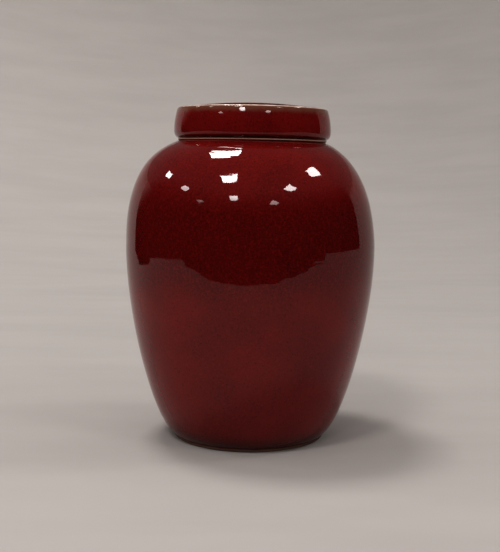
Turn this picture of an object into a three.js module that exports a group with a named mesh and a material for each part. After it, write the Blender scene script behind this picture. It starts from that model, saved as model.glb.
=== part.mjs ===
// Ginger jar: a thrown stoneware jar with an upright neck, and the cap lid that drops over the neck.
// Millimetres, +Z up. The origin is the centre of the foot, on the surface that the jar stands on.
import * as THREE from "three";

// Driving dimensions of the jar's outside.
const BODY_RADIUS = 85.5;
const BODY_WIDEST_Z = 130.6;
const FOOT_RADIUS = 52;
const FOOT_HEIGHT = 2.2;
const FOOT_EDGE = 0.8;
const BELLY_START_ANGLE = 0.3;
const BELLY_START_REACH = 14;
const BELLY_END_REACH = 49.3;
const SHOULDER_END_REACH = 30.4;
const SHOULDER_END_ANGLE = 0.368;
const SEAT_RADIUS = 49.8;
const SEAT_Z = 202.9;

// Neck, wall and foot recess.
const NECK_RADIUS = 46.5;
const NECK_BORE_RADIUS = 42;
const NECK_TOP_Z = 218.5;
const WALL_AT_BASE = 6.5;
const WALL_AT_WIDEST = 5;
const WALL_AT_SHOULDER = 4.5;
const FLOOR_Z = 11;
const FLOOR_FILLET = 9;
const FOOT_RING_WIDTH = 7.5;
const FOOT_RECESS = 4;

// Lid. It rests on the seat and runs freely round the neck.
const SEAT_GAP = 0.3;
const NECK_CLEARANCE = 1.2;
const LID_RIM_Z = SEAT_Z + SEAT_GAP;
const LID_BORE_RADIUS = NECK_RADIUS + NECK_CLEARANCE;
const LID_RIM_RADIUS = 50.7;
const LID_RIM_HEIGHT = 1.2;
const LID_RADIUS = 53.5;
const LID_WIDEST_Z = 209.7;
const LID_WALL_TOP_RADIUS = 51.6;
const LID_WALL_TOP_Z = 223.2;
const LID_EDGE_RADIUS = 49.2;
const LID_EDGE_Z = 225.2;
const LID_CREST_Z = 229;
const LID_CEILING_Z = 221;
const LID_CEILING_RISE = 3.2;
const LID_INNER_FILLET = 2.5;

// Fineness of the turned surfaces.
const SEGMENTS = 64;
const LONG_CURVE_STEPS = 14;
const SHORT_CURVE_STEPS = 4;
const RIM_STEPS = 6;

const point = (radius, z) => new THREE.Vector2(radius, z);

// A point that lies at a distance and an angle above the horizontal from another.
function reach(from, angle, distance) {
  return point(from.x + distance * Math.cos(angle), from.y + distance * Math.sin(angle));
}

// A rounded corner from one point to another, bulging towards the corner point.
function roundedCorner(from, corner, to, steps = SHORT_CURVE_STEPS) {
  return new THREE.QuadraticBezierCurve(from, corner, to).getPoints(steps);
}

// Points of a shallow dome between the axis and an edge, from the axis outwards.
function shallowDome(crestZ, edgeRadius, edgeZ, steps) {
  const rise = crestZ - edgeZ;
  const sphereRadius = (edgeRadius ** 2 + rise ** 2) / (2 * rise);
  const points = [];
  for (let i = 0; i <= steps; i += 1) {
    const radius = (edgeRadius * i) / steps;
    points.push(point(radius, crestZ - sphereRadius + Math.sqrt(sphereRadius ** 2 - radius ** 2)));
  }
  return points;
}

// The inside of the wall: points of an outer curve moved inwards by the wall's thickness there.
function insideOf(curve, thicknessAtStart, thicknessAtEnd) {
  const points = [];
  for (let i = 0; i <= LONG_CURVE_STEPS; i += 1) {
    const along = i / LONG_CURVE_STEPS;
    const thickness = THREE.MathUtils.lerp(thicknessAtStart, thicknessAtEnd, along);
    const outer = curve.getPoint(along);
    const tangent = curve.getTangent(along);
    points.push(point(outer.x - tangent.y * thickness, outer.y + tangent.x * thickness));
  }
  return points;
}

// Turns an outline of radius and height round the Z axis. Neighbouring outline points that
// coincide are dropped, so that no face has zero area.
function turned(outline) {
  const closest = 1e-3;
  const clean = outline.filter((p, i) => i === 0 || p.distanceTo(outline[i - 1]) > closest);
  return new THREE.LatheGeometry(clean, SEGMENTS).rotateX(Math.PI / 2);
}

// The belly and shoulder curves. They meet upright at the widest point, where the shoulder's first
// reach is the one that gives both curves the same curvature.
function bodyCurves() {
  const footTop = point(FOOT_RADIUS, FOOT_HEIGHT);
  const widest = point(BODY_RADIUS, BODY_WIDEST_Z);
  const seatEdge = point(SEAT_RADIUS, SEAT_Z);
  const bellyStart = reach(footTop, BELLY_START_ANGLE, BELLY_START_REACH);
  const shoulderEnd = reach(seatEdge, -SHOULDER_END_ANGLE, SHOULDER_END_REACH);
  const bend = (BODY_RADIUS - shoulderEnd.x) / (BODY_RADIUS - bellyStart.x);
  const shoulderStartReach = BELLY_END_REACH * Math.sqrt(bend);
  return {
    belly: new THREE.CubicBezierCurve(
      footTop,
      bellyStart,
      reach(widest, -Math.PI / 2, BELLY_END_REACH),
      widest,
    ),
    shoulder: new THREE.CubicBezierCurve(
      widest,
      reach(widest, Math.PI / 2, shoulderStartReach),
      shoulderEnd,
      seatEdge,
    ),
  };
}

function jarOutline() {
  const { belly, shoulder } = bodyCurves();

  const footRingInner = FOOT_RADIUS - FOOT_RING_WIDTH;
  const foot = [
    point(0, FOOT_RECESS),
    point(footRingInner - FOOT_RECESS, FOOT_RECESS),
    point(footRingInner, FOOT_EDGE),
    point(footRingInner + FOOT_EDGE, 0),
    point(FOOT_RADIUS - FOOT_EDGE, 0),
    point(FOOT_RADIUS, FOOT_EDGE),
  ];
  const outside = [
    ...belly.getPoints(LONG_CURVE_STEPS),
    ...shoulder.getPoints(LONG_CURVE_STEPS),
  ];

  // Neck: straight outside and inside, with a half-round rim.
  const rimRadius = (NECK_RADIUS - NECK_BORE_RADIUS) / 2;
  const rimZ = NECK_TOP_Z - rimRadius;
  const neck = [point(NECK_RADIUS, SEAT_Z)];
  for (let i = 0; i <= RIM_STEPS; i += 1) {
    neck.push(reach(point(NECK_RADIUS - rimRadius, rimZ), (Math.PI * i) / RIM_STEPS, rimRadius));
  }

  // Inside, from the top down: a rounded throat, the wall, and a fillet into the floor.
  const shoulderInside = insideOf(shoulder, WALL_AT_WIDEST, WALL_AT_SHOULDER).reverse();
  const throatBottom = point(NECK_BORE_RADIUS, SEAT_Z + WALL_AT_SHOULDER);
  const throatCorner = point(NECK_BORE_RADIUS, SEAT_Z - WALL_AT_SHOULDER / 2);
  const throat = roundedCorner(throatBottom, throatCorner, shoulderInside[0]);
  const wallInside = insideOf(belly, WALL_AT_BASE, WALL_AT_WIDEST)
    .filter((p) => p.y > FLOOR_Z + FLOOR_FILLET)
    .reverse();
  const filletTop = wallInside[wallInside.length - 1];
  const floorCorner = point(filletTop.x - FLOOR_FILLET / 2, FLOOR_Z);
  const filletEnd = point(floorCorner.x - FLOOR_FILLET, FLOOR_Z);
  const fillet = roundedCorner(filletTop, floorCorner, filletEnd);

  return [
    ...foot,
    ...outside,
    ...neck,
    ...throat,
    ...shoulderInside,
    ...wallInside,
    ...fillet,
    point(0, FLOOR_Z),
  ];
}

function lidOutline() {
  const domeSteps = 6;
  const ceilingEdge = point(LID_BORE_RADIUS - LID_INNER_FILLET, LID_CEILING_Z);
  const ceiling = shallowDome(LID_CEILING_Z + LID_CEILING_RISE, ceilingEdge.x, ceilingEdge.y, domeSteps);
  const innerCorner = roundedCorner(
    ceilingEdge,
    point(LID_BORE_RADIUS, LID_CEILING_Z),
    point(LID_BORE_RADIUS, LID_CEILING_Z - LID_INNER_FILLET),
  );

  const rimTop = point(LID_RIM_RADIUS, LID_RIM_Z + LID_RIM_HEIGHT);
  const widest = point(LID_RADIUS, LID_WIDEST_Z);
  const wallTop = point(LID_WALL_TOP_RADIUS, LID_WALL_TOP_Z);
  const edge = point(LID_EDGE_RADIUS, LID_EDGE_Z);
  const lowerCorner = point(LID_RADIUS, rimTop.y + LID_RIM_HEIGHT);
  const wallBulge = point(LID_RADIUS, (LID_WIDEST_Z + LID_WALL_TOP_Z) / 2);
  const upperCorner = point(LID_WALL_TOP_RADIUS - FOOT_EDGE / 2, LID_EDGE_Z);
  const top = shallowDome(LID_CREST_Z, LID_EDGE_RADIUS, LID_EDGE_Z, domeSteps).reverse();

  return [
    ...ceiling,
    ...innerCorner,
    point(LID_BORE_RADIUS, LID_RIM_Z),
    point(LID_RIM_RADIUS, LID_RIM_Z),
    ...roundedCorner(rimTop, lowerCorner, widest),
    ...roundedCorner(widest, wallBulge, wallTop),
    ...roundedCorner(wallTop, upperCorner, edge),
    ...top,
  ];
}

function glazedPiece(name, outline) {
  const glaze = new THREE.MeshStandardMaterial({ color: 0x6e0d0c, roughness: 0.15, metalness: 0 });
  const mesh = new THREE.Mesh(turned(outline), glaze);
  mesh.name = name;
  return mesh;
}

const gingerJar = new THREE.Group();
gingerJar.add(glazedPiece("jar", jarOutline()));
gingerJar.add(glazedPiece("lid", lidOutline()));

export default gingerJar;
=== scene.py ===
"""The looks of a ginger jar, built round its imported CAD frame.

Metres, +Z up, in the CAD's own frame: the origin is the centre of the foot, on the floor.
Both pieces are turned bodies, so each is an outline of (radius, height) points that is turned
round the Z axis, then roughened a little as a thrown and glazed surface is.
"""
import math

import bpy
from mathutils import Matrix, Vector, noise

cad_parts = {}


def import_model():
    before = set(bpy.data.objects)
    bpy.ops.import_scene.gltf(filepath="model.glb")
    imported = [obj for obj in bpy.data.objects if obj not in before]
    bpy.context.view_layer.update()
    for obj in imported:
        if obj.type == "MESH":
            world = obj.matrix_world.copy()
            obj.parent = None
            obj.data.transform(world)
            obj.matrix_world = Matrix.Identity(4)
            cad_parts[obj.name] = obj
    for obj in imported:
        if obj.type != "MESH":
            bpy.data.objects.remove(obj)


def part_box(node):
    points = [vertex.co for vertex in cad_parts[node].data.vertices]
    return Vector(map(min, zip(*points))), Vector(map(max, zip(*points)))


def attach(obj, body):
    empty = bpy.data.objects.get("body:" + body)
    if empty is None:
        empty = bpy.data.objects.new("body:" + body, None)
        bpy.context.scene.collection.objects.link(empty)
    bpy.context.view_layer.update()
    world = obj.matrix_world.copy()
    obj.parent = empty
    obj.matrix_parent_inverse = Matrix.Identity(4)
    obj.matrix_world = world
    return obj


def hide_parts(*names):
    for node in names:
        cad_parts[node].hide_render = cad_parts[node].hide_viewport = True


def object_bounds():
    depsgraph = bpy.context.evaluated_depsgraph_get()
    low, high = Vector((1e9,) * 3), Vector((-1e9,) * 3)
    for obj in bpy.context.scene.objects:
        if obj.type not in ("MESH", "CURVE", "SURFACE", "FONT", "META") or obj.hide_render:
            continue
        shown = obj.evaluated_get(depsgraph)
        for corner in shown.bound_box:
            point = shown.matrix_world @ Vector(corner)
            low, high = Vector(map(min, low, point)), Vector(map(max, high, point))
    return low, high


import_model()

CAD_LOW, CAD_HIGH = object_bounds()
_, JAR_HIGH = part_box("jar")
LID_LOW, LID_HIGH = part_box("lid")
MM = 0.001

# Jar, as in the CAD model.
BODY_RADIUS = JAR_HIGH.x
BODY_WIDEST_Z = 130.6 * MM
FOOT_RADIUS = 52 * MM
FOOT_HEIGHT = 2.2 * MM
FOOT_EDGE = 0.8 * MM
BELLY_START_ANGLE = 0.3
BELLY_START_REACH = 14 * MM
BELLY_END_REACH = 49.3 * MM
SHOULDER_END_REACH = 30.4 * MM
SHOULDER_END_ANGLE = 0.368
SEAT_RADIUS = 49.8 * MM
SEAT_Z = 202.9 * MM
NECK_RADIUS = 46.5 * MM
NECK_BORE_RADIUS = 42 * MM
NECK_TOP_Z = JAR_HIGH.z
WALL_AT_BASE = 6.5 * MM
WALL_AT_WIDEST = 5 * MM
WALL_AT_SHOULDER = 4.5 * MM
FLOOR_Z = 11 * MM
FLOOR_FILLET = 9 * MM
FOOT_RING_WIDTH = 7.5 * MM
FOOT_RECESS = 4 * MM

# Lid, as in the CAD model.
LID_RIM_Z = LID_LOW.z
LID_BORE_RADIUS = 47.7 * MM
LID_RIM_RADIUS = 50.7 * MM
LID_RIM_HEIGHT = 1.2 * MM
LID_RADIUS = LID_HIGH.x
LID_WIDEST_Z = 209.7 * MM
LID_WALL_TOP_RADIUS = 51.6 * MM
LID_WALL_TOP_Z = 223.2 * MM
LID_EDGE_RADIUS = 49.2 * MM
LID_EDGE_Z = 225.2 * MM
LID_CREST_Z = LID_HIGH.z
LID_CEILING_Z = 221 * MM
LID_CEILING_RISE = 3.2 * MM
LID_INNER_FILLET = 2.5 * MM

# Fineness of the turned meshes.
SEGMENTS = 384
FINE = 0.35 * MM
MIDDLING = 0.7 * MM
COARSE = 1.1 * MM
SHORTEST_STEP = 0.02 * MM
FACES_UP = 0.7
FACES_INWARDS = -0.15

# The marks of throwing: slow swells, pulled inwards so that none passes the true outline, and
# fine rings, deeper just under the collar.
SWELL_SIZE = 45 * MM
SWELL_INWARDS = 0.75
RING_SIZE = 1.7 * MM
RING_DEPTH = 0.016 * MM
COLLAR_RING_DEPTH = 0.045 * MM
JAR_SWELL = 0.16 * MM
LID_SWELL = 0.10 * MM
LID_CREST_LOWERED = 0.05 * MM

# How far the fired pot is out of true, and over which heights each fault fades in or out.
TOP_SLOPE = 0.006
TOP_SLOPE_HEIGHTS = (SEAT_Z - 50 * MM, SEAT_Z - 25 * MM)
SHOULDER_SLOPE = 0.008
SHOULDER_SLOPE_ENDS = (SEAT_Z - 18 * MM, SEAT_Z - 6 * MM)
SHOULDER_SHIFT = 0.7 * MM
SHOULDER_SHIFT_HEIGHTS = (BODY_WIDEST_Z, BODY_WIDEST_Z + 30 * MM)
COLLAR_HEIGHTS = (SEAT_Z - 8 * MM, SEAT_Z)
COLLAR_RING_HEIGHTS = (SEAT_Z - 22 * MM, SEAT_Z - 4 * MM)
LID_SHIFT = 0.5 * MM
# Each dent's place, its size and its depth.
DENTS = (
    (Vector((-15, -57, 197)) * MM, 7 * MM, 0.55 * MM),
    (Vector((-13, -73, 183)) * MM, 6 * MM, 0.14 * MM),
    (Vector((43, -60, 183)) * MM, 7 * MM, 0.22 * MM),
)


# ---------------------------------------------------------------- outlines

def point(radius, z):
    return Vector((radius, z))


def reach(start, angle, distance):
    """The point at a distance from another, at an angle above the horizontal."""
    return start + distance * Vector((math.cos(angle), math.sin(angle)))


def bezier(controls, t):
    """De Casteljau's point of a Bezier curve of any degree."""
    points = list(controls)
    while len(points) > 1:
        points = [a.lerp(b, t) for a, b in zip(points, points[1:])]
    return points[0]


def curve_points(controls, spacing):
    """Points along a Bezier curve, a spacing apart or a little less."""
    rough = [bezier(controls, i / 32) for i in range(33)]
    length = sum((b - a).length for a, b in zip(rough, rough[1:]))
    steps = max(2, math.ceil(length / spacing))
    return [bezier(controls, i / steps) for i in range(steps + 1)]


def offset_points(controls, spacing, start_thickness, end_thickness):
    """The points of a curve, moved to its left by a thickness that changes along it."""
    points = curve_points(controls, spacing)
    last = len(points) - 1
    moved = []
    for i, here in enumerate(points):
        tangent = (points[min(i + 1, last)] - points[max(i - 1, 0)]).normalized()
        along = i / last
        thickness = start_thickness * (1 - along) + end_thickness * along
        moved.append(here + thickness * Vector((-tangent.y, tangent.x)))
    return moved


def dome_points(crest_z, edge, spacing):
    """A shallow dome of a sphere's curve, from the axis out to its edge."""
    rise = crest_z - edge.y
    sphere = (edge.x ** 2 + rise ** 2) / (2 * rise)
    steps = math.ceil(edge.x / spacing)
    radii = [edge.x * i / steps for i in range(steps + 1)]
    return [point(r, crest_z - sphere + math.sqrt(sphere ** 2 - r ** 2)) for r in radii]


def eased(corners, radius, spacing):
    """A polyline whose inner corners are each rounded off by a radius."""
    result = [corners[0]]
    for before, corner, after in zip(corners, corners[1:], corners[2:]):
        start = corner + (before - corner).normalized() * radius
        end = corner + (after - corner).normalized() * radius
        result += curve_points([start, corner, end], spacing)
    result.append(corners[-1])
    return result


def spaced(points, spacing):
    """The same polyline with its long straights cut up and its repeated points dropped."""
    result = [points[0]]
    for target in points[1:]:
        here = result[-1]
        gap = (target - here).length
        if gap < SHORTEST_STEP:
            continue
        steps = math.ceil(gap / spacing)
        result += [here.lerp(target, i / steps) for i in range(1, steps + 1)]
    return result


def body_curves():
    """Controls of the belly and shoulder curves, which meet with one curvature."""
    foot_top = point(FOOT_RADIUS, FOOT_HEIGHT)
    widest = point(BODY_RADIUS, BODY_WIDEST_Z)
    seat_edge = point(SEAT_RADIUS, SEAT_Z)
    belly_start = reach(foot_top, BELLY_START_ANGLE, BELLY_START_REACH)
    shoulder_end = reach(seat_edge, -SHOULDER_END_ANGLE, SHOULDER_END_REACH)
    bend = (BODY_RADIUS - shoulder_end.x) / (BODY_RADIUS - belly_start.x)
    shoulder_reach = BELLY_END_REACH * math.sqrt(bend)
    belly = [foot_top, belly_start, reach(widest, -math.pi / 2, BELLY_END_REACH), widest]
    shoulder = [widest, reach(widest, math.pi / 2, shoulder_reach), shoulder_end, seat_edge]
    return belly, shoulder


def jar_outline():
    belly, shoulder = body_curves()
    ring_inner = FOOT_RADIUS - FOOT_RING_WIDTH
    foot = eased([
        point(0, FOOT_RECESS),
        point(ring_inner - FOOT_RECESS, FOOT_RECESS),
        point(ring_inner, 0),
        point(FOOT_RADIUS, 0),
        point(FOOT_RADIUS, FOOT_HEIGHT),
    ], FOOT_EDGE, FINE)
    outside = curve_points(belly, MIDDLING) + curve_points(shoulder, MIDDLING)
    seat = eased([
        outside[-1],
        point(SEAT_RADIUS - FOOT_EDGE, SEAT_Z),
        point(NECK_RADIUS, SEAT_Z),
        point(NECK_RADIUS, SEAT_Z + 2 * FOOT_EDGE),
    ], FOOT_EDGE / 2, FINE)
    rim_radius = (NECK_RADIUS - NECK_BORE_RADIUS) / 2
    rim_centre = point(NECK_RADIUS - rim_radius, NECK_TOP_Z - rim_radius)
    rim_steps = 16
    rim = [reach(rim_centre, math.pi * i / rim_steps, rim_radius) for i in range(rim_steps + 1)]

    inside_shoulder = offset_points(shoulder, COARSE, WALL_AT_WIDEST, WALL_AT_SHOULDER)[::-1]
    throat = curve_points([
        point(NECK_BORE_RADIUS, SEAT_Z + WALL_AT_SHOULDER),
        point(NECK_BORE_RADIUS, SEAT_Z - WALL_AT_SHOULDER / 2),
        inside_shoulder[0],
    ], FINE)
    inside_belly = offset_points(belly, COARSE, WALL_AT_BASE, WALL_AT_WIDEST)[::-1]
    inside_belly = [p for p in inside_belly if p.y > FLOOR_Z + FLOOR_FILLET]
    fillet_top = inside_belly[-1]
    floor_corner = point(fillet_top.x - FLOOR_FILLET / 2, FLOOR_Z)
    fillet_end = point(floor_corner.x - FLOOR_FILLET, FLOOR_Z)
    fillet = curve_points([fillet_top, floor_corner, fillet_end], COARSE)
    inside = throat + inside_shoulder + inside_belly + fillet + [point(0, FLOOR_Z)]
    return spaced(foot + outside + seat + rim + inside, COARSE)


def lid_outline():
    ceiling_edge = point(LID_BORE_RADIUS - LID_INNER_FILLET, LID_CEILING_Z)
    ceiling = dome_points(LID_CEILING_Z + LID_CEILING_RISE, ceiling_edge, COARSE)
    inner_corner = curve_points([
        ceiling_edge,
        point(LID_BORE_RADIUS, LID_CEILING_Z),
        point(LID_BORE_RADIUS, LID_CEILING_Z - LID_INNER_FILLET),
    ], FINE)
    rim_top = point(LID_RIM_RADIUS, LID_RIM_Z + LID_RIM_HEIGHT)
    rim = eased([
        inner_corner[-1],
        point(LID_BORE_RADIUS, LID_RIM_Z),
        point(LID_RIM_RADIUS, LID_RIM_Z),
        rim_top,
    ], FOOT_EDGE / 2, FINE)
    widest = point(LID_RADIUS, LID_WIDEST_Z)
    wall_top = point(LID_WALL_TOP_RADIUS, LID_WALL_TOP_Z)
    edge = point(LID_EDGE_RADIUS, LID_EDGE_Z)
    lower_corner = point(LID_RADIUS, rim_top.y + LID_RIM_HEIGHT)
    wall_bulge = point(LID_RADIUS, (LID_WIDEST_Z + LID_WALL_TOP_Z) / 2)
    upper_corner = point(LID_WALL_TOP_RADIUS - FOOT_EDGE / 2, LID_EDGE_Z)
    outside = (
        curve_points([rim_top, lower_corner, widest], FINE)
        + curve_points([widest, wall_bulge, wall_top], COARSE)
        + curve_points([wall_top, upper_corner, edge], FINE)
    )
    top = dome_points(LID_CREST_Z - LID_CREST_LOWERED, edge, COARSE)[::-1]
    return spaced(ceiling + inner_corner + rim + outside + top, COARSE)


# ---------------------------------------------------------------- meshes

def new_object(name, verts, faces):
    mesh = bpy.data.meshes.new(name)
    mesh.from_pydata(verts, [], faces)
    created = bpy.data.objects.new(name, mesh)
    bpy.context.scene.collection.objects.link(created)
    return created


def turned_mesh(name, outline, segments):
    """A smooth-shaded object: an outline from axis to axis, turned round the Z axis."""
    ring_outline = outline[1:-1]
    turns = [2 * math.pi * s / segments for s in range(segments)]
    verts = [(0, 0, outline[0].y)]
    for p in ring_outline:
        verts += [(p.x * math.cos(a), p.x * math.sin(a), p.y) for a in turns]
    verts.append((0, 0, outline[-1].y))

    last = len(verts) - 1
    top_ring = 1 + (len(ring_outline) - 1) * segments
    faces = []
    for s in range(segments):
        n = (s + 1) % segments
        faces.append((0, 1 + n, 1 + s))
        faces.append((last, top_ring + s, top_ring + n))
        for k in range(len(ring_outline) - 1):
            low = 1 + k * segments
            high = low + segments
            faces.append((low + s, low + n, high + n, high + s))
    piece = new_object(name, verts, faces)
    piece.data.update()
    piece.data.shade_smooth()
    return piece


def smooth_step(value, low, high):
    t = min(max((value - low) / (high - low), 0), 1)
    return t * t * (3 - 2 * t)


def add_hand_thrown_unevenness(piece, amount, seed):
    """Moves each vertex in by slow swells and by faint throwing rings, stronger at the collar."""
    places = [v.co.copy() for v in piece.data.vertices]
    for co in places:
        radius = math.hypot(co.x, co.y)
        if radius < 1e-6:
            continue
        swell = noise.noise(co / SWELL_SIZE + Vector((seed, 0, 0)))
        turn = math.atan2(co.y, co.x)
        drift = Vector((2 * math.cos(turn), 2 * math.sin(turn)))
        ring = noise.noise(Vector(((co.z - radius) / RING_SIZE, seed + drift.x, drift.y)))
        near_collar = smooth_step(co.z, *COLLAR_RING_HEIGHTS) * (co.z < SEAT_Z)
        depth = RING_DEPTH + (COLLAR_RING_DEPTH - RING_DEPTH) * near_collar
        push = amount * (swell - SWELL_INWARDS) + depth * ring
        co.x *= 1 + push / radius
        co.y *= 1 + push / radius
    piece.data.vertices.foreach_set("co", [number for co in places for number in co])
    piece.data.update()


def set_out_of_true(piece, sideways):
    """Leans the upper part as it sagged in the kiln: one shoulder high, the top a little sloping."""
    places = [v.co.copy() for v in piece.data.vertices]
    normals = [v.normal.copy() for v in piece.data.vertices]
    for co, normal in zip(places, normals):
        dent = sum(depth * math.exp(-(co - centre).length_squared / (2 * size ** 2))
                   for centre, size, depth in DENTS)
        shoulder = smooth_step(co.z, *SHOULDER_SHIFT_HEIGHTS)
        collar = smooth_step(co.z, *COLLAR_HEIGHTS)
        sloping = smooth_step(co.z, *TOP_SLOPE_HEIGHTS)
        outer = sloping * (1 - smooth_step(co.z, *SHOULDER_SLOPE_ENDS))
        co -= normal * dent * (1 - collar)
        co.x += sideways - SHOULDER_SHIFT * shoulder * (1 - collar)
        co.z -= (TOP_SLOPE * sloping + SHOULDER_SLOPE * outer) * co.x
    piece.data.vertices.foreach_set("co", [number for co in places for number in co])
    piece.data.update()


def faces_inside(mesh, floor_z):
    """The faces that look at the axis, or up or down at it from a hollow's floor or ceiling."""
    inside = []
    for face in mesh.polygons:
        centre = face.center
        radius = math.hypot(centre.x, centre.y)
        outwards = (face.normal.x * centre.x + face.normal.y * centre.y) / radius
        on_floor = face.normal.z > FACES_UP and centre.z < floor_z
        on_ceiling = face.normal.z < -FACES_UP and centre.z > LID_CEILING_Z - 1 * MM
        if centre.z > FLOOR_Z / 2 and (outwards < FACES_INWARDS or on_floor or on_ceiling):
            inside.append(face)
    return inside


# ---------------------------------------------------------------- material nodes

MATT_ROUGHNESS = 0.9


class Nodes:
    """Short calls for building a node tree."""

    def __init__(self, material_name):
        self.material = bpy.data.materials.new(material_name)
        self.material.use_nodes = True
        self.tree = self.material.node_tree
        self.shader = self.tree.nodes["Principled BSDF"]

    def link(self, source, target):
        if isinstance(source, (int, float, tuple)):
            target.default_value = source
        else:
            self.tree.links.new(source, target)

    def add(self, kind, **settings):
        node = self.tree.nodes.new(kind)
        for key, value in settings.items():
            setattr(node, key, value)
        return node

    def math(self, operation, a, b=0.0, clamp=False):
        node = self.add("ShaderNodeMath", operation=operation, use_clamp=clamp)
        self.link(a, node.inputs[0])
        self.link(b, node.inputs[1])
        return node.outputs[0]

    def ramp(self, value, low, high, to_low=0.0, to_high=1.0):
        """A smooth step of a value from one range to another."""
        node = self.add("ShaderNodeMapRange", interpolation_type="SMOOTHSTEP")
        for source, target in zip((value, low, high, to_low, to_high), node.inputs):
            self.link(source, target)
        return node.outputs[0]

    def mix(self, share, a, b):
        node = self.add("ShaderNodeMix", data_type="RGBA")
        self.link(share, node.inputs[0])
        self.link(a, node.inputs[6])
        self.link(b, node.inputs[7])
        return node.outputs[2]

    def dot(self, vector, direction):
        node = self.add("ShaderNodeVectorMath", operation="DOT_PRODUCT")
        self.link(vector, node.inputs[0])
        node.inputs[1].default_value = direction
        return node.outputs["Value"]

    def make_matt(self):
        self.shader.inputs["Roughness"].default_value = MATT_ROUGHNESS
        self.shader.inputs["Specular IOR Level"].default_value = 0.0

    def noise(self, vector, size, detail=2.0, roughness=0.5):
        """Noise between 0 and 1 whose features are about a size across."""
        node = self.add("ShaderNodeTexNoise")
        self.link(vector, node.inputs["Vector"])
        node.inputs["Scale"].default_value = 1 / size
        node.inputs["Detail"].default_value = detail
        node.inputs["Roughness"].default_value = roughness
        return node.outputs["Fac"]


def rgb(red, green, blue):
    return (red, green, blue, 1.0)


BLACK = rgb(0, 0, 0)
OXBLOOD = rgb(0.158, 0.0105, 0.0090)
OXBLOOD_DEEP = rgb(0.120, 0.0080, 0.0075)
OXBLOOD_FIRE = rgb(0.235, 0.0170, 0.0125)
# Painted shade: a darker red for the band round the waist.
OXBLOOD_SHADED_WAIST = rgb(0.074, 0.0055, 0.0052)
THIN_BROWN = rgb(0.165, 0.072, 0.048)
PALE_EDGE = rgb(0.64, 0.50, 0.44)
# Pooled glaze, with painted shade where the surface turns under.
POOLED_GLAZE_AND_SHADE = rgb(0.045, 0.008, 0.006)
SPECK = rgb(0.020, 0.006, 0.004)
INSIDE_GLAZE = rgb(0.50, 0.50, 0.42)
INSIDE_GLAZE_WARM = rgb(0.58, 0.52, 0.40)
BARE_CLAY = rgb(0.41, 0.31, 0.23)
BARE_CLAY_DARK = rgb(0.29, 0.21, 0.15)
RIM_CLAY = rgb(0.52, 0.32, 0.26)
# Dark brown: toasted clay, and painted shade where the foot ring meets the floor; the inside's specks
# use it too.
TOASTED_CLAY_AND_SHADE = rgb(0.13, 0.075, 0.055)

# Sizes of the glaze's and the clay's patterns.
CLOUD_SIZE = 38 * MM
INSIDE_CLOUD_SIZE = 22 * MM
MOTTLE_SIZE = 1.3 * MM
SPECK_SIZE = 1.2 * MM
CLAY_GRAIN_SIZE = 1.8 * MM
GLOSS_GRAIN_SIZE = 2.5 * MM
PEEL_SIZE = 5 * MM
PIT_SIZE = 1.4 * MM
PIT_SHARE = 0.75
BUMP_STRENGTH = 0.35
BUMP_DEPTH = 0.03 * MM

# Gloss.
GLAZE_ROUGHNESS = (0.020, 0.042)
CLAY_ROUGHNESS = 0.75
GLAZE_IOR = 1.5

# Heights and radii between which each zone of the jar fades in, or out where the pair falls.
# The waist's darker band is painted shade.
WAIST_SHADE_FADES_IN = (94 * MM, 124 * MM)
WAIST_SHADE_FADES_OUT = (176 * MM, 154 * MM)
FOOT_LINE_WAVER = 1.5 * MM
FOOT_LINE_WAVER_SIZE = 14 * MM
# Pooled glaze with painted shade, low on the body where it turns under towards the floor.
FOOT_POOL_AND_SHADE_HEIGHTS = (3.5 * MM, 16 * MM)
FOOT_THIN_HEIGHTS = (3.3 * MM, 2.7 * MM)
FOOT_CLAY_HEIGHTS = (2.6 * MM, 2.3 * MM)
SEAT_CLAY_HEIGHTS = (SEAT_Z - 0.5 * MM, SEAT_Z - 0.2 * MM)
SEAT_CLAY_RADII = (SEAT_RADIUS, SEAT_RADIUS - 0.6 * MM)

# The same for the lid.
LID_LINE_WAVER = 2.4 * MM
LID_LINE_WAVER_SIZE = 9 * MM
LID_THIN_HEIGHTS = (LID_WALL_TOP_Z - 3.6 * MM, LID_WALL_TOP_Z + 0.4 * MM)
LID_THIN_RADII = (LID_EDGE_RADIUS - 1.6 * MM, LID_EDGE_RADIUS - 0.9 * MM)
LID_PALE_HEIGHTS = (LID_EDGE_Z - 1.0 * MM, LID_EDGE_Z - 0.55 * MM)
LID_PALE_RADII = (LID_EDGE_RADIUS - 0.5 * MM, LID_EDGE_RADIUS + 0.1 * MM)
LID_PALE_BREAK_SIZE = 6 * MM
# Pooled glaze with painted shade at the lid's lower edge, where it turns under.
LID_POOL_AND_SHADE_HEIGHTS = (LID_RIM_Z + 3.6 * MM, LID_RIM_Z + 1.6 * MM)
LID_CLAY_HEIGHTS = (LID_RIM_Z + 0.90 * MM, LID_RIM_Z + 0.70 * MM)


def object_coordinates(nodes):
    """The object's own coordinates, as one vector and as x, y and z."""
    coordinates = nodes.add("ShaderNodeTexCoord").outputs["Object"]
    split = nodes.add("ShaderNodeSeparateXYZ")
    nodes.link(coordinates, split.inputs[0])
    return coordinates, *split.outputs


def distance_from_axis(nodes, x, y):
    x_squared = nodes.math("MULTIPLY", x, x)
    y_squared = nodes.math("MULTIPLY", y, y)
    return nodes.math("SQRT", nodes.math("ADD", x_squared, y_squared))


def height_before_sloping(nodes, x, z):
    return nodes.math("ADD", z, nodes.math("MULTIPLY", x, TOP_SLOPE))


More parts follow.
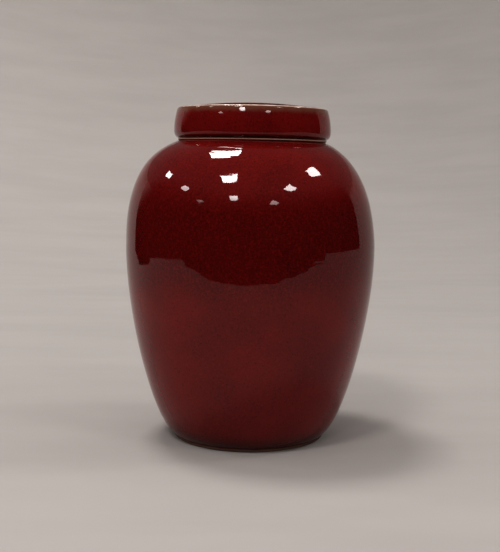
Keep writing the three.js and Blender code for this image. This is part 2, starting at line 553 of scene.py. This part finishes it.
def oxblood_colour(nodes, coordinates, z):
    """Red copper glaze: slow clouds, painted shade that darkens the waist, a fine mottle and dark
    specks.
    """
    clouds = nodes.noise(coordinates, CLOUD_SIZE, detail=3)
    mottle = nodes.noise(coordinates, MOTTLE_SIZE, detail=3, roughness=0.65)
    specks = nodes.noise(coordinates, SPECK_SIZE, detail=2)
    colour = nodes.mix(nodes.ramp(clouds, 0.35, 0.68), OXBLOOD_DEEP, OXBLOOD)
    # Painted shade: the waist is darkened into a band.
    waist_shade = nodes.math("MULTIPLY", nodes.ramp(z, *WAIST_SHADE_FADES_IN),
                       nodes.ramp(z, *WAIST_SHADE_FADES_OUT, 0.0, 0.75))
    colour = nodes.mix(waist_shade, colour, OXBLOOD_SHADED_WAIST)
    colour = nodes.mix(nodes.ramp(mottle, 0.42, 0.75, 0.0, 0.5), colour, OXBLOOD_FIRE)
    colour = nodes.mix(nodes.ramp(specks, 0.28, 0.45, 0.45, 0.0), colour, SPECK)
    return colour


def finish_glaze(nodes, coordinates, colour, bare):
    """Gloss on the glaze, none on the bare clay, and the glaze's faint orange peel and pits."""
    shader = nodes.shader
    nodes.link(colour, shader.inputs["Base Color"])
    grain = nodes.noise(coordinates, GLOSS_GRAIN_SIZE, detail=2)
    glaze_roughness = nodes.ramp(grain, 0.2, 0.8, *GLAZE_ROUGHNESS)
    roughness = nodes.ramp(bare, 0.0, 1.0, glaze_roughness, CLAY_ROUGHNESS)
    nodes.link(roughness, shader.inputs["Roughness"])
    shader.inputs["IOR"].default_value = GLAZE_IOR
    peel = nodes.noise(coordinates, PEEL_SIZE, detail=3, roughness=0.45)
    pits = nodes.noise(coordinates, PIT_SIZE, detail=2)
    height = nodes.math("ADD", peel, nodes.math("MULTIPLY", pits, PIT_SHARE))
    bump = nodes.add("ShaderNodeBump")
    bump.inputs["Strength"].default_value = BUMP_STRENGTH
    bump.inputs["Distance"].default_value = BUMP_DEPTH
    nodes.link(height, bump.inputs["Height"])
    nodes.link(bump.outputs[0], shader.inputs["Normal"])


def jar_material():
    nodes = Nodes("jar_glaze")
    coordinates, x, y, z = object_coordinates(nodes)
    radius = distance_from_axis(nodes, x, y)
    level_z = height_before_sloping(nodes, x, z)
    waver = nodes.noise(coordinates, FOOT_LINE_WAVER_SIZE, detail=2)
    low_line = nodes.math("ADD", z, nodes.math("MULTIPLY", waver, FOOT_LINE_WAVER))
    colour = oxblood_colour(nodes, coordinates, z)
    # Painted shade with pooled glaze: the body darkens low down, where it turns under towards the
    # floor.
    pooled_and_shade = nodes.ramp(low_line, *FOOT_POOL_AND_SHADE_HEIGHTS, 0.75, 0.0)
    colour = nodes.mix(pooled_and_shade, colour, POOLED_GLAZE_AND_SHADE)
    thin = nodes.ramp(low_line, *FOOT_THIN_HEIGHTS, 0.0, 0.5)
    colour = nodes.mix(thin, colour, THIN_BROWN)
    # The glaze stops at the seat, and on the foot ring: the seat, the neck and the foot are bare.
    on_seat = nodes.math("MULTIPLY", nodes.ramp(level_z, *SEAT_CLAY_HEIGHTS),
                         nodes.ramp(radius, *SEAT_CLAY_RADII))
    on_foot = nodes.ramp(low_line, *FOOT_CLAY_HEIGHTS)
    clay_grain = nodes.noise(coordinates, CLAY_GRAIN_SIZE, detail=4, roughness=0.7)
    clay = nodes.mix(nodes.ramp(clay_grain, 0.35, 0.7), BARE_CLAY, BARE_CLAY_DARK)
    colour = nodes.mix(on_seat, colour, clay)
    # Painted shade with toasted clay: the bare foot ring is darkened where it meets the floor.
    colour = nodes.mix(on_foot, colour, TOASTED_CLAY_AND_SHADE)
    finish_glaze(nodes, coordinates, colour, nodes.math("MAXIMUM", on_seat, on_foot))
    return nodes.material


def lid_material():
    nodes = Nodes("lid_glaze")
    coordinates, x, y, z = object_coordinates(nodes)
    radius = distance_from_axis(nodes, x, y)
    level_z = height_before_sloping(nodes, x, z)
    waver = nodes.math("SUBTRACT", nodes.noise(coordinates, LID_LINE_WAVER_SIZE, detail=3), 0.5)
    wavy_z = nodes.math("ADD", level_z, nodes.math("MULTIPLY", waver, LID_LINE_WAVER))
    colour = oxblood_colour(nodes, coordinates, z)
    thin = nodes.math("MULTIPLY", nodes.ramp(wavy_z, *LID_THIN_HEIGHTS, 0.0, 0.9),
                      nodes.ramp(radius, *LID_THIN_RADII))
    colour = nodes.mix(thin, colour, THIN_BROWN)
    breaks = nodes.noise(coordinates, LID_PALE_BREAK_SIZE, detail=2)
    broken = nodes.ramp(breaks, 0.35, 0.6, 0.55, 1.0)
    pale = nodes.math("MULTIPLY", nodes.ramp(level_z, *LID_PALE_HEIGHTS),
                      nodes.ramp(radius, *LID_PALE_RADII))
    colour = nodes.mix(nodes.math("MULTIPLY", pale, broken), colour, PALE_EDGE)
    # Painted shade with pooled glaze: the lid darkens at its lower edge.
    pooled_and_shade = nodes.ramp(wavy_z, *LID_POOL_AND_SHADE_HEIGHTS)
    colour = nodes.mix(pooled_and_shade, colour, POOLED_GLAZE_AND_SHADE)
    bare = nodes.ramp(level_z, *LID_CLAY_HEIGHTS)
    colour = nodes.mix(bare, colour, RIM_CLAY)
    finish_glaze(nodes, coordinates, colour, bare)
    return nodes.material


def inside_material():
    """A thin pale glaze with small brown specks, as the inside of such a jar often has."""
    nodes = Nodes("inside_glaze")
    coordinates = object_coordinates(nodes)[0]
    clouds = nodes.noise(coordinates, INSIDE_CLOUD_SIZE, detail=3)
    colour = nodes.mix(nodes.ramp(clouds, 0.35, 0.65), INSIDE_GLAZE, INSIDE_GLAZE_WARM)
    specks = nodes.noise(coordinates, SPECK_SIZE, detail=1)
    colour = nodes.mix(nodes.ramp(specks, 0.24, 0.32, 0.7, 0.0), colour, TOASTED_CLAY_AND_SHADE)
    finish_glaze(nodes, coordinates, colour, 0.0)
    return nodes.material


# ---------------------------------------------------------------- the object

def make_piece(name, outline, material, unevenness, sideways, seed):
    piece = turned_mesh(name + "_glazed", outline, SEGMENTS)
    piece.data.materials.append(material)
    piece.data.materials.append(INSIDE)
    for face in faces_inside(piece.data, FLOOR_Z + FLOOR_FILLET):
        face.material_index = 1
    add_hand_thrown_unevenness(piece, unevenness, seed)
    set_out_of_true(piece, sideways)
    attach(piece, name)
    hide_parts(name)


INSIDE = inside_material()
make_piece("jar", jar_outline(), jar_material(), JAR_SWELL, 0.0, seed=3.0)
make_piece("lid", lid_outline(), lid_material(), LID_SWELL, LID_SHIFT, seed=11.0)


# ---------------------------------------------------------------- studio

HEIGHT = CAD_HIGH.z - CAD_LOW.z
# The floor is flat out to a radius, then rises along an arc.
FLOOR_RADIUS = 0.9
SWEEP_RADIUS = 3.2
SWEEP_RISE = 1.3
# Its paper, in metres: colours, then where and how much each change of tone applies. Paler outwards
# is painted light; darker at the far right and towards the top is painted shade.
# Painted light: the paper grows paler from the centre out to this radius.
PAPER_EDGE_RADIUS = 3.3
PAPER_AT_CENTRE = rgb(0.456, 0.427, 0.412)
PAPER_PAINTED_LIGHT_AT_EDGE = rgb(0.695, 0.650, 0.629)
# Painted shade: darker towards the sweep's top and towards its far right.
PAPER_PAINTED_SHADE_AT_TOP = rgb(0.55, 0.514, 0.497)
PAPER_TOP_SHADE_FROM_TO = (0.80, 1.25)
FAR_RIGHT = (0.8, 0.35, 0.0)
FAR_RIGHT_RANGE = (0.1, 1.5)
FAR_RIGHT_SHADE = 0.14
WASH_STRETCH = (0.3, 1.0, 1.0)
WASH_SIZE = 0.11
WASH_SHADE = 0.06


def paper_with_painted_light():
    """Warm grey paper with painted light, paler outwards, and painted shade, darker at the far right
    and towards its top edge.
    """
    nodes = Nodes("sweep_paper")
    coordinates, x, y, z = object_coordinates(nodes)
    outwards = nodes.add("ShaderNodeMapRange")
    nodes.link(distance_from_axis(nodes, x, y), outwards.inputs["Value"])
    outwards.inputs["From Min"].default_value = FLOOR_RADIUS / 2
    outwards.inputs["From Max"].default_value = PAPER_EDGE_RADIUS
    # Painted light: paler outwards.
    colour = nodes.mix(outwards.outputs["Result"], PAPER_AT_CENTRE, PAPER_PAINTED_LIGHT_AT_EDGE)
    # Painted shade: darker towards the far right.
    far_right = nodes.dot(coordinates, FAR_RIGHT)
    colour = nodes.mix(nodes.ramp(far_right, *FAR_RIGHT_RANGE, 0.0, FAR_RIGHT_SHADE), colour, BLACK)
    stretched = nodes.add("ShaderNodeVectorMath", operation="MULTIPLY")
    nodes.link(coordinates, stretched.inputs[0])
    stretched.inputs[1].default_value = WASH_STRETCH
    wash = nodes.noise(stretched.outputs["Vector"], WASH_SIZE, detail=5, roughness=0.6)
    colour = nodes.mix(nodes.ramp(wash, 0.3, 0.7, 0.0, WASH_SHADE), colour, BLACK)
    # Painted shade: darker towards the top.
    colour = nodes.mix(nodes.ramp(z, *PAPER_TOP_SHADE_FROM_TO), colour, PAPER_PAINTED_SHADE_AT_TOP)
    nodes.link(colour, nodes.shader.inputs["Base Color"])
    nodes.make_matt()
    return nodes.material


def sweep():
    """A pale round floor that curves slowly upwards all the way round."""
    centre = point(FLOOR_RADIUS, SWEEP_RADIUS)
    rise_angle = math.acos(1 - SWEEP_RISE / SWEEP_RADIUS)
    steps = 32
    outline = [reach(centre, rise_angle * i / steps - math.pi / 2, SWEEP_RADIUS)
               for i in range(steps + 1)]
    turns = 128
    angles = [2 * math.pi * s / turns for s in range(turns)]
    verts, faces = [(0, 0, 0)], []
    for p in outline:
        verts += [(p.x * math.cos(a), p.x * math.sin(a), p.y) for a in angles]
    for s in range(turns):
        n = (s + 1) % turns
        faces.append((0, 1 + s, 1 + n))
        for k in range(steps):
            low = 1 + k * turns
            faces.append((low + s, low + turns + s, low + turns + n, low + n))
    floor = new_object("sweep", verts, faces)
    floor.data.shade_smooth()
    floor.data.materials.append(paper_with_painted_light())


ROOM_RADIUS = 0.88
ROOM_DARK = rgb(0.012, 0.012, 0.012)
ROOM_FADE_LOW = 0.42
ROOM_TOP = 0.90
ROOM_FADE_BACK = (0.64, 1.0)
ROOM_ROUGHNESS = 6 * MM
ROOM_THING_GAP = 20 * MM
# Lower edge of the dark room round the table: degrees from the front, positive to the right,
# and metres above the table.
ROOM_LOWER_EDGE = (
    (-124, 0.060), (-116, 0.010), (-100, 0.008), (-97, 0.030), (-60, 0.028), (-56, 0.000),
    (55, 0.000), (58, 0.020), (66, 0.022), (68, 0.085), (112, 0.090),
)
# Dim things in that room: left and right edge in degrees, bottom and top in metres.
ROOM_THINGS = ((10, 17, 0.15, 0.33), (17, 22, 0.18, 0.29), (86, 90, 0.17, 0.46), (95, 98, 0.15, 0.42))
ROOM_THING_COLOUR = rgb(0.060, 0.052, 0.052)
# The same for one behind the table, and how far to each side it starts and ends fading out.
DARK_BEHIND = (165, 195, 0.37, 0.52)
BEHIND_FADE = (0.10, 0.22)
TABLE_EDGE_Y = -0.49
TABLE_END_DEGREES = 56
TABLE_EDGE_WAVER = 0.035


def room_material():
    """Near black, fading out towards the top, where the ceiling's light begins."""
    nodes = Nodes("dark_room")
    coordinates, _, _, z = object_coordinates(nodes)
    nodes.shader.inputs["Base Color"].default_value = ROOM_DARK
    nodes.make_matt()
    back_and_up = nodes.dot(coordinates, (0.0, 1.0, 1.0))
    alpha = nodes.math("MULTIPLY", nodes.ramp(z, ROOM_FADE_LOW, ROOM_TOP, 1.0, 0.0),
                       nodes.ramp(back_and_up, *ROOM_FADE_BACK, 1.0, 0.0))
    nodes.link(alpha, nodes.shader.inputs["Alpha"])
    return nodes.material


def dim_material():
    nodes = Nodes("dim_things")
    nodes.shader.inputs["Base Color"].default_value = ROOM_THING_COLOUR
    nodes.make_matt()
    return nodes.material


def behind_material():
    """The colour of the dim things, fading out to both sides."""
    nodes = Nodes("dark_behind")
    x = object_coordinates(nodes)[1]
    nodes.shader.inputs["Base Color"].default_value = ROOM_THING_COLOUR
    nodes.make_matt()
    sideways = nodes.math("ABSOLUTE", x)
    nodes.link(nodes.ramp(sideways, *BEHIND_FADE, 1.0, 0.0), nodes.shader.inputs["Alpha"])
    return nodes.material


def reflected_only(name, verts, faces, material):
    """A stage object that only shows up as a reflection in the glaze."""
    card = new_object(name, verts, faces)
    card.data.materials.append(material)
    card.visible_camera = False
    card.visible_diffuse = False
    card.visible_transmission = False
    card.visible_volume_scatter = False
    card.visible_shadow = False


def room_point(degrees, z, radius=ROOM_RADIUS):
    angle = math.radians(degrees)
    return (radius * math.sin(angle), -radius * math.cos(angle), z)


def upright_card(name, extent, material):
    """A flat card just inside the room's wall, from its edges in degrees and in metres."""
    left, right, low, high = extent
    near = ROOM_RADIUS - ROOM_THING_GAP
    corners = [room_point(left, low, near), room_point(right, low, near),
               room_point(right, high, near), room_point(left, high, near)]
    reflected_only(name, corners, [(0, 1, 2, 3)], material)


def unlit_room():
    """The dark room in front of the table and at its sides: a ring of wall and a floor."""
    material = room_material()
    verts, faces = [], []
    for (a, a_low), (b, b_low) in zip(ROOM_LOWER_EDGE, ROOM_LOWER_EDGE[1:]):
        steps = max(1, round((b - a) / 3))
        for i in range(steps):
            for share in (i / steps, (i + 1) / steps):
                degrees = a + (b - a) * share
                rough = ROOM_ROUGHNESS * noise.noise(Vector((degrees / 5, 7.0, 0.0)))
                low = a_low + (b_low - a_low) * share + max(rough, 1 * MM)
                verts += [room_point(degrees, low), room_point(degrees, ROOM_TOP)]
            last = len(verts)
            faces.append((last - 4, last - 2, last - 1, last - 3))
    reflected_only("room_wall", verts, faces, material)

    dim = dim_material()
    for i, extent in enumerate(ROOM_THINGS):
        upright_card("room_thing_%d" % i, extent, dim)
    upright_card("room_thing_%d" % len(ROOM_THINGS), DARK_BEHIND, behind_material())

    verts, faces = [], []
    steps = 60
    for i in range(steps + 1):
        degrees = TABLE_END_DEGREES * (2 * i / steps - 1)
        x, y, z = room_point(degrees, 1 * MM)
        waver = TABLE_EDGE_WAVER * noise.noise(Vector((x / 0.12, 2.0, 0.0)))
        verts += [(x, y, z), (x, max(y, TABLE_EDGE_Y + waver), z)]
    for i in range(steps):
        faces.append((2 * i, 2 * i + 2, 2 * i + 3, 2 * i + 1))
    reflected_only("room_floor", verts, faces, material)


# Lamps, in metres and watts. The energies are those of the columns, from left to right.
LAMP_HEIGHT = 2.4
LAMP_SIZE = 0.52
LAMP_ENERGIES = (12.5, 17, 10.5)
LAMP_COLOUR = (1.0, 0.985, 0.97)
FILL_HEIGHT = 3.2
FILL_SIZE = 5.0
FILL_ENERGY = 29
LAMP_GRID_CENTRE = Vector((-0.78, -1.55, LAMP_HEIGHT))
LAMP_GRID_TURN = math.radians(-7)
LAMP_COLUMN_STEP = 2.72
LAMP_ROW_STEP = 2.0
AIR_COLOUR = rgb(0.9, 0.87, 0.84)
AIR_STRENGTH = 0.16


def ceiling_panels():
    """Square ceiling lamps in a regular grid, high above the table and a little askew to it."""
    turn = Matrix.Rotation(LAMP_GRID_TURN, 4, "Z")
    for column in (-1, 0, 1):
        for row in (-1, 0, 1):
            light = bpy.data.lights.new("panel_%d_%d" % (column + 1, row + 1), "AREA")
            light.shape = "SQUARE"
            light.size = LAMP_SIZE
            light.energy = LAMP_ENERGIES[column + 1]
            light.color = LAMP_COLOUR
            lamp = bpy.data.objects.new(light.name, light)
            step = Vector((column * LAMP_COLUMN_STEP, row * LAMP_ROW_STEP, 0))
            lamp.matrix_world = Matrix.Translation(LAMP_GRID_CENTRE + turn @ step) @ turn
            bpy.context.scene.collection.objects.link(lamp)


def soft_fill():
    """The rest of the room's light: a wide soft overhead lamp that the glaze doesn't mirror."""
    light = bpy.data.lights.new("soft_fill", "AREA")
    light.shape = "SQUARE"
    light.size = FILL_SIZE
    light.energy = FILL_ENERGY
    light.color = LAMP_COLOUR
    lamp = bpy.data.objects.new(light.name, light)
    lamp.location = (0, 0, FILL_HEIGHT)
    lamp.visible_glossy = False
    bpy.context.scene.collection.objects.link(lamp)


def world():
    scene_world = bpy.data.worlds.new("room_air")
    scene_world.use_nodes = True
    background = scene_world.node_tree.nodes["Background"]
    background.inputs["Color"].default_value = AIR_COLOUR
    background.inputs["Strength"].default_value = AIR_STRENGTH
    bpy.context.scene.world = scene_world


sweep()
unlit_room()
ceiling_panels()
soft_fill()
world()


# ---------------------------------------------------------------- camera

CAMERA_DISTANCE = 3.011 * HEIGHT
CAMERA_Z = 0.817 * HEIGHT
CAMERA_PITCH = math.radians(6.34)
CAMERA_ROLL = math.radians(0.7)
LENS = 65.2
SENSOR_WIDTH = 36


def camera():
    data = bpy.data.cameras.new("camera")
    data.lens = LENS
    data.sensor_width = SENSOR_WIDTH
    eye = bpy.data.objects.new("camera", data)
    tilt = Matrix.Rotation(math.pi / 2 - CAMERA_PITCH, 4, "X") @ Matrix.Rotation(CAMERA_ROLL, 4, "Z")
    eye.matrix_world = Matrix.Translation((0, -CAMERA_DISTANCE, CAMERA_Z)) @ tilt
    bpy.context.scene.collection.objects.link(eye)
    bpy.context.scene.camera = eye


camera()
bpy.context.scene.view_settings.view_transform = "Standard"
bpy.context.scene.view_settings.look = "High Contrast"
